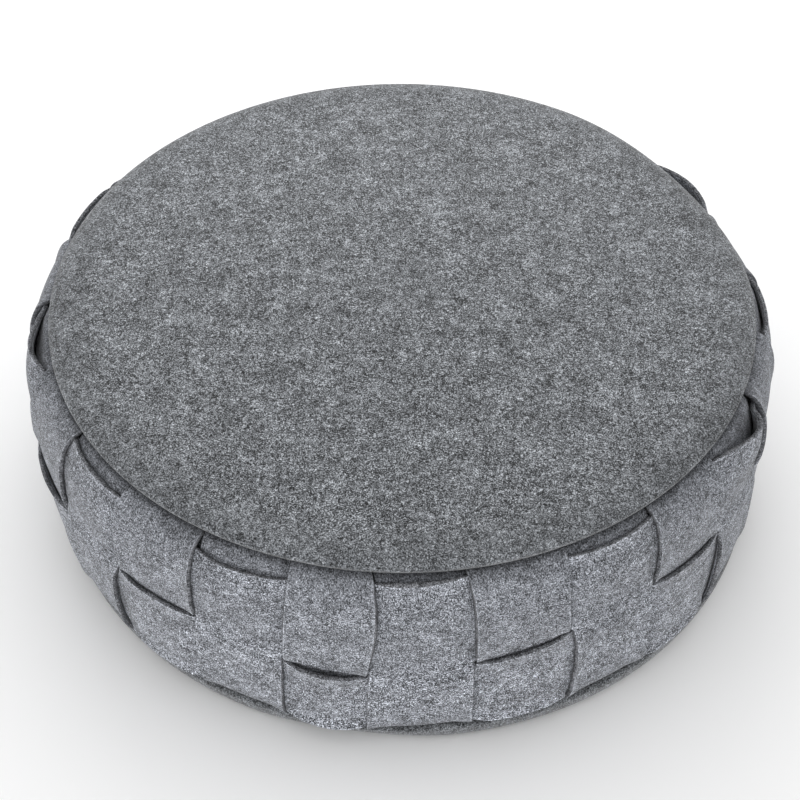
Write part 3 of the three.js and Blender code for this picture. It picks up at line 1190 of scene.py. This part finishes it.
@dataclass
class Filling:
    """The soft filling, which a cloth simulation presses out against the top panel."""

    voxel: float = 6 * MM
    subdivisions: int = 1
    lump: float = 1.6 * MM
    lump_size: float = 95 * MM
    lump_place: tuple[float, float, float] = (3.1, 0.4, 7.7)
    pressure: float = 4.0
    stiffness: float = 12.0
    bending: float = 2.0
    frames: int = 20
    quality: int = 4
    cap: float = 4.5 * MM
    fade: float = 26 * MM
    ray_height: float = 1.0

    def evened(self, bm: bmesh.types.BMesh) -> bpy.types.Object:
        """Remesh a body into even faces.

        Args:
            bm: The closed body, which is freed.

        Returns:
            The evened body.
        """
        coarse = mesh_object("filling", bm)
        even = coarse.modifiers.new("even", "REMESH")
        even.mode = "VOXEL"
        even.voxel_size = self.voxel
        self.apply(coarse)
        return coarse

    def apply(self, piece: bpy.types.Object) -> None:
        """Turn a piece's modifiers into its mesh.

        Args:
            piece: The piece, which keeps no modifier.
        """
        graph = bpy.context.evaluated_depsgraph_get()
        mesh = bpy.data.meshes.new_from_object(piece.evaluated_get(graph))
        piece.modifiers.clear()
        piece.data = mesh

    def lumpy(self, place: Vector) -> float:
        """Return the filling's lumps at a place, before the felt is pressed smooth over them."""
        return self.lump * noise.noise(place / self.lump_size + Vector(self.lump_place))

    def simulate(self, piece: bpy.types.Object, loose: Callable[[Vector], bool]) -> None:
        """Press the loose part of a body out, and keep the rest where it is.

        Args:
            piece: The evened body, which gets its pressed shape.
            loose: Which places may move.
        """
        start = [vert.co.copy() for vert in piece.data.vertices]
        pins = piece.vertex_groups.new(name="pins")
        pins.add([vert.index for vert in piece.data.vertices if not loose(vert.co)], 1.0, "REPLACE")
        cloth = piece.modifiers.new("pressed", "CLOTH")
        settings = cloth.settings
        settings.quality = self.quality
        settings.tension_stiffness = self.stiffness
        settings.compression_stiffness = self.stiffness
        settings.bending_stiffness = self.bending
        settings.use_pressure = True
        settings.uniform_pressure_force = self.pressure
        settings.vertex_group_mass = pins.name
        settings.effector_weights.gravity = 0.0
        cloth.point_cache.frame_start = 1
        cloth.point_cache.frame_end = self.frames
        for step in range(1, self.frames + 1):
            bpy.context.scene.frame_set(step)
        self.apply(piece)
        for vert, home in zip(piece.data.vertices, start):
            moved = vert.co - home
            if moved.length > self.cap:
                vert.co = home + moved * (self.cap / moved.length)

    def skin(self, piece: bpy.types.Object) -> BVHTree:
        """Smooth a body's faces, for rays to be cast on.

        Args:
            piece: The body.

        Returns:
            A tree of its smoothed faces.
        """
        smooth = piece.modifiers.new("smooth", "SUBSURF")
        smooth.levels = smooth.render_levels = self.subdivisions
        self.apply(piece)
        bm = bmesh.new()
        bm.from_mesh(piece.data)
        tree = BVHTree.FromBMesh(bm)
        bm.free()
        return tree

    def press(self, bm: bmesh.types.BMesh, rim: float, floor: float) -> Callable[[Vector], float]:
        """Press the filling out against the top panel.

        Args:
            bm: The closed body, which is freed.
            rim: The radius at which the panel is held by its seam.
            floor: A height that only the top panel lies above.

        Returns:
            A function that gives how far a place on the top panel has risen.
        """
        plain = self.evened(bm)
        pressed = plain.copy()
        pressed.data = plain.data.copy()
        bpy.context.scene.collection.objects.link(pressed)

        def loose(place: Vector) -> bool:
            """Return whether the seam leaves a place free to move."""
            return place.z > floor and math.hypot(place.x, place.y) < rim - self.voxel

        for vert in pressed.data.vertices:
            if loose(vert.co):
                vert.co.z += self.lumpy(vert.co)
        self.simulate(pressed, loose)
        before, after = self.skin(plain), self.skin(pressed)
        for done in (plain, pressed):
            bpy.data.objects.remove(done)
        bpy.context.scene.frame_set(1)

        def risen(place: Vector) -> float:
            """Return how far a place on the top panel has risen.

            Args:
                place: The place, of which only X and Y are read.

            Returns:
                How far it lies higher than the plain body.
            """
            above = Vector((place.x, place.y, self.ray_height))
            down = Vector((0.0, 0.0, -1.0))
            first, then = before.ray_cast(above, down)[0], after.ray_cast(above, down)[0]
            return then.z - first.z if first and then else 0.0

        return risen


@dataclass
class FilledBody:
    """The filled body: its top and bottom panels, and the backing that the weave lies on."""

    wall: Wall
    finishes: Finishes
    filling: Filling = field(default_factory=Filling)
    flat_radius: float = 207 * MM
    flat_rings: int = 12
    crown: float = 18 * MM
    rim_width: float = 21.5 * MM
    rim_rise: float = 6.5 * MM
    seam_depth: float = 6.5 * MM
    groove_height: float = 1.0 * MM
    top_groove: tuple[float, ...] = (0.7, 0.4, 0.15)
    bottom_groove: tuple[float, ...] = (0.15, 0.4, 0.6)
    backing_gap: float = 3 * CLEAR
    backing_drops: tuple[float, ...] = (126, 119, 97, 70, 41, 32, 24, 18, 12, 6)  # millimetres
    bead: float = 3.0 * MM
    squareness: float = 2.7
    held_rise: float = 0.8
    bead_share: float = 1.0
    undercut: float = 0.8
    # Painted shade: shortens the distance to the bottom seam, so the seam's painted shade spreads over the
    # roll underneath
    foot_shade: float = 0.3
    around: int = 288
    filling_around: int = 120
    rings: int = 64
    roll_steps: int = 28
    node: str = "cushion"
    slot: str = "panel_felt"
    name: str = "felt_cushion_body"

    @property
    def backing(self) -> float:
        """How far behind the wall's middle the backing lies."""
        return (FELT + CLEAR) + FELT / 2 + self.backing_gap

    def dome(self, radius: float) -> float:
        """Return the share of the crown's height at a distance from the axis."""
        rim_radius, _ = self.wall.profile(0.0, FELT / 2)
        return max(0.0, 1 - (radius / rim_radius) ** 2)

    def panel_height(self, radius: float) -> float:
        """Return the top panel's height before its seam draws it in.

        Args:
            radius: Distance from the axis.

        Returns:
            The height there.
        """
        rim_radius, rim_height = self.wall.profile(0.0, FELT / 2)
        roll = max(0.0, radius - rim_radius + self.rim_width) / self.rim_width
        crown = (self.crown - self.rim_rise) * self.dome(radius)
        side = max(0.0, 1 - roll**self.squareness) ** (1 / self.squareness)
        return rim_height + self.rim_rise * side + crown

    def drawn_in(self, drop: float, point: tuple[float, float]) -> tuple[float, float]:
        """Return a point of a panel's roll, drawn in by the seam at a drop.

        Args:
            drop: The seam's drop, 0 or the wall's height.
            point: Its radius and height.

        Returns:
            Its radius and height after the seam has drawn it in along the wall's normal.
        """
        middle, rim = self.wall.profile(drop, 0.0), self.wall.profile(drop, FELT / 2)
        draw = self.wall.tuck * self.bead_share * max(0.0, 1 - abs(point[1] - rim[1]) / self.bead) ** 2
        normal = [(rim[i] - middle[i]) / (FELT / 2) for i in range(2)]
        return point[0] - draw * normal[0], point[1] - draw * normal[1]

    def groove(
        self, end: tuple[float, float], shares: tuple[float, ...], height: float
    ) -> list[tuple[float, float]]:
        """Return the points of a seam's groove, at shares of its depth behind a roll's end."""
        return [(end[0] - self.seam_depth * share, end[1] + height * share) for share in shares]

    def roll_turns(self) -> list[float]:
        """Return the turns at which a panel's roll is traced, from none to a right angle."""
        return [math.pi / 2 * step / self.roll_steps for step in range(self.roll_steps + 1)]

    def top_profile(self) -> list[tuple[float, float]]:
        """Trace the top panel's half section.

        Returns:
            Radii and heights, from its seam's groove to the axis.
        """
        rim = self.wall.profile(0.0, FELT / 2)
        bottom = self.drawn_in(0.0, rim)
        groove = self.groove(bottom, self.top_groove, -self.groove_height)
        roll = []
        for turn in self.roll_turns():
            radius = rim[0] - self.rim_width * (1 - math.cos(turn))
            roll.append(self.drawn_in(0.0, (radius, self.panel_height(radius))))
        inner = rim[0] - self.rim_width
        radii = [inner * (1 - step / self.rings) for step in range(1, self.rings + 1)]
        return groove + roll + [(radius, self.panel_height(radius)) for radius in radii]

    def bottom_profile(self) -> list[tuple[float, float]]:
        """Trace the underside's half section.

        Returns:
            Radii and heights, from the axis to its seam's groove.
        """
        rim = self.wall.profile(self.wall.height, FELT / 2)
        flat = [(self.flat_radius * step / self.flat_rings, 0.0) for step in range(self.flat_rings)]
        roll = []
        for turn in self.roll_turns():
            radius = self.flat_radius + (rim[0] - self.flat_radius) * math.sin(turn)
            height = rim[1] * (1 - math.cos(turn) ** self.undercut)
            roll.append(self.drawn_in(self.wall.height, (radius, height)))
        return flat + roll + self.groove(roll[-1], self.bottom_groove, self.groove_height)

    def section(self) -> list[tuple[float, float]]:
        """Return the body's whole half section, from the axis round to the axis."""
        backing = [self.wall.profile(drop * MM, -self.backing) for drop in self.backing_drops]
        return self.bottom_profile() + backing + self.top_profile()

    def turned(self, section: list[tuple[float, float]], steps: int) -> bmesh.types.BMesh:
        """Turn a half section into a closed body.

        Args:
            section: Radii and heights from the axis round to the axis.
            steps: How many sides it gets round the axis.

        Returns:
            The closed body, with its normals outwards.
        """
        bm = bmesh.new()
        verts = [bm.verts.new((0.0, -radius, height)) for radius, height in section]
        edges = [bm.edges.new(pair) for pair in zip(verts, verts[1:])]
        bmesh.ops.spin(
            bm,
            geom=verts + edges,
            cent=(0, 0, 0),
            axis=(0, 0, 1),
            angle=math.tau,
            steps=steps,
            use_merge=True,
        )
        bmesh.ops.remove_doubles(bm, verts=bm.verts[:], dist=WELD)
        bmesh.ops.recalc_face_normals(bm, faces=bm.faces[:])
        return bm

    def settle(self, bm: bmesh.types.BMesh) -> None:
        """Shift every level of the body as the filling has settled and slumped.

        Args:
            bm: The body.
        """
        for vert in bm.verts:
            bearing = math.degrees(math.atan2(vert.co.x, -vert.co.y))
            pushed = self.wall.pressed(bearing, vert.co.z) + self.wall.dented(bearing)
            inwards = 1 - pushed / self.wall.fullest_radius
            shift_x, shift_y = self.wall.settled(vert.co.z)
            vert.co.x *= inwards
            vert.co.y *= inwards
            vert.co += Vector((shift_x, shift_y, -self.wall.slumped(bearing, vert.co.z)))

    def fill(self, bm: bmesh.types.BMesh) -> None:
        """Raise and lower the top panel as the pressed filling does, with the crown's height kept.

        Args:
            bm: The body.
        """
        rim_radius, rim_height = self.wall.profile(0.0, FELT / 2)
        floor = rim_height + self.rim_rise * self.held_rise
        coarse = self.turned(self.section(), self.filling_around)
        risen = self.filling.press(coarse, rim_radius - self.rim_width / 2, floor)
        middle = risen(Vector((0.0, 0.0, 0.0)))
        for vert in bm.verts:
            radius = math.hypot(vert.co.x, vert.co.y)
            fade = min(1.0, max(0.0, (rim_radius - radius) / self.filling.fade))
            if vert.co.z > floor and fade > 0:
                share = fade * fade * (3 - 2 * fade)
                vert.co.z += share * (risen(vert.co) - middle * self.dome(radius))

    def mark_creases(self, bm: bmesh.types.BMesh) -> None:
        """Write each vertex's distance to its seam, taken shorter on the roll underneath so that the
        painted seam shade darkens that whole roll.

        Args:
            bm: The body.
        """
        crease = bm.verts.layers.float.new("crease")
        rims = [(drop, self.wall.profile(drop, FELT / 2)) for drop in (0.0, self.wall.height)]
        seams = [Vector(self.drawn_in(drop, rim)) for drop, rim in rims]
        for vert in bm.verts:
            place = Vector((math.hypot(vert.co.x, vert.co.y), vert.co.z))
            top, bottom = ((place - seam).length for seam in seams)
            vert[crease] = min(top, bottom * self.foot_shade)

    def build(self) -> bpy.types.Object:
        """Build the filled body.

        Returns:
            The finished body.
        """
        bm = self.turned(self.section(), self.around)
        self.mark_creases(bm)
        self.fill(bm)
        self.settle(bm)
        piece = finish_piece(mesh_object(self.name, bm), [self.finishes.panel], self.slot, self.node)
        return piece


# Studio


@dataclass(frozen=True)
class Softbox:
    """A large soft lamp aimed at a point of the cushion."""

    name: str
    place: tuple[float, float, float]
    size: tuple[float, float]
    power: float
    target: tuple[float, float, float] = (0.0, 0.0, 0.08)

    def build(self) -> bpy.types.Object:
        """Hang the lamp, turned to its target.

        Returns:
            The lamp.
        """
        light = bpy.data.lights.new(self.name, "AREA")
        light.shape = "RECTANGLE"
        light.size, light.size_y = self.size
        light.energy = self.power
        lamp = bpy.data.objects.new(self.name, light)
        aim = Vector(self.target) - Vector(self.place)
        turned = aim.to_track_quat("-Z", "Y").to_matrix().to_4x4()
        lamp.matrix_world = Matrix.Translation(self.place) @ turned
        bpy.context.scene.collection.objects.link(lamp)
        return lamp


@dataclass
class Studio:
    """The pale floor, the soft lights and the camera, whose turns are degrees."""

    seam_height: float
    elevation: float = 43.188
    distance: float = 1516.6 * MM
    yaw: float = -0.043
    pitch: float = -2.125
    roll: float = 0.27
    lens: float = 112.3
    sensor: float = 36.0
    near: float = 50 * MM
    floor_size: float = 12.0
    ambience: float = 1.0
    lights: tuple[Softbox, ...] = (
        Softbox("softbox_back", (-0.1, 0.72, 0.52), (0.9, 0.3), 2.2, (0.0, 0.0, 0.15)),
        Softbox("softbox_front", (-0.2, -1.0, 0.05), (0.6, 0.08), 2.25, (0.0, 0.0, 0.04)),
        Softbox("softbox_above", (0.0, 0.9, 2.0), (2.0, 2.0), 4.0),
    )

    def camera(self) -> bpy.types.Object:
        """Set up the camera, at the photograph's viewing angle.

        Returns:
            The camera.
        """
        angle = math.radians(self.elevation)
        forward = Vector((0.0, math.cos(angle), -math.sin(angle)))
        up = Vector((0.0, math.sin(angle), math.cos(angle)))
        yaw, pitch, roll = (math.radians(turn) for turn in (self.yaw, self.pitch, self.roll))
        across = Vector((1.0, 0.0, 0.0)) * math.sin(yaw) * math.cos(pitch)
        aim = (forward * math.cos(pitch) * math.cos(yaw) + up * math.sin(pitch) + across).normalized()
        right = aim.cross(up).normalized()
        top = right.cross(aim)
        level_right = right * math.cos(roll) + top * math.sin(roll)
        level_top = top * math.cos(roll) - right * math.sin(roll)
        place = Vector((0.0, 0.0, self.seam_height)) - forward * self.distance
        data = bpy.data.cameras.new("camera")
        data.lens = self.lens
        data.sensor_width = self.sensor
        data.clip_start = self.near
        made = bpy.data.objects.new("camera", data)
        turned = Matrix((level_right, level_top, -aim)).transposed().to_4x4()
        made.matrix_world = Matrix.Translation(place) @ turned
        bpy.context.scene.collection.objects.link(made)
        return made

    def floor(self) -> bpy.types.Object:
        """Lay the pale floor.

        Returns:
            The floor.
        """
        bm = bmesh.new()
        bmesh.ops.create_grid(bm, x_segments=1, y_segments=1, size=self.floor_size / 2)
        made = mesh_object("studio_floor", bm)
        made.data.materials.append(Paper().build())
        return made

    def world(self) -> None:
        """Light everything evenly and a little from all round."""
        world = bpy.data.worlds.new("studio_air")
        world.use_nodes = True
        background = world.node_tree.nodes["Background"]
        background.inputs["Color"].default_value = (1.0, 1.0, 1.0, 1.0)
        background.inputs["Strength"].default_value = self.ambience
        bpy.context.scene.world = world

    def build(self) -> None:
        """Build the studio and look through its camera."""
        self.floor()
        for softbox in self.lights:
            softbox.build()
        self.world()
        scene = bpy.context.scene
        scene.camera = self.camera()
        scene.view_settings.view_transform = "Standard"


def main() -> None:
    """Build the cushion and its studio."""
    logging.basicConfig(level=logging.INFO, format="%(name)s %(message)s")
    wall = Wall()
    finishes = Finishes()
    body = FilledBody(wall, finishes).build()
    Strips(Weave(wall), finishes, body.name).build()
    Studio(wall.seam_height).build()


if __name__ == "__main__":
    main()
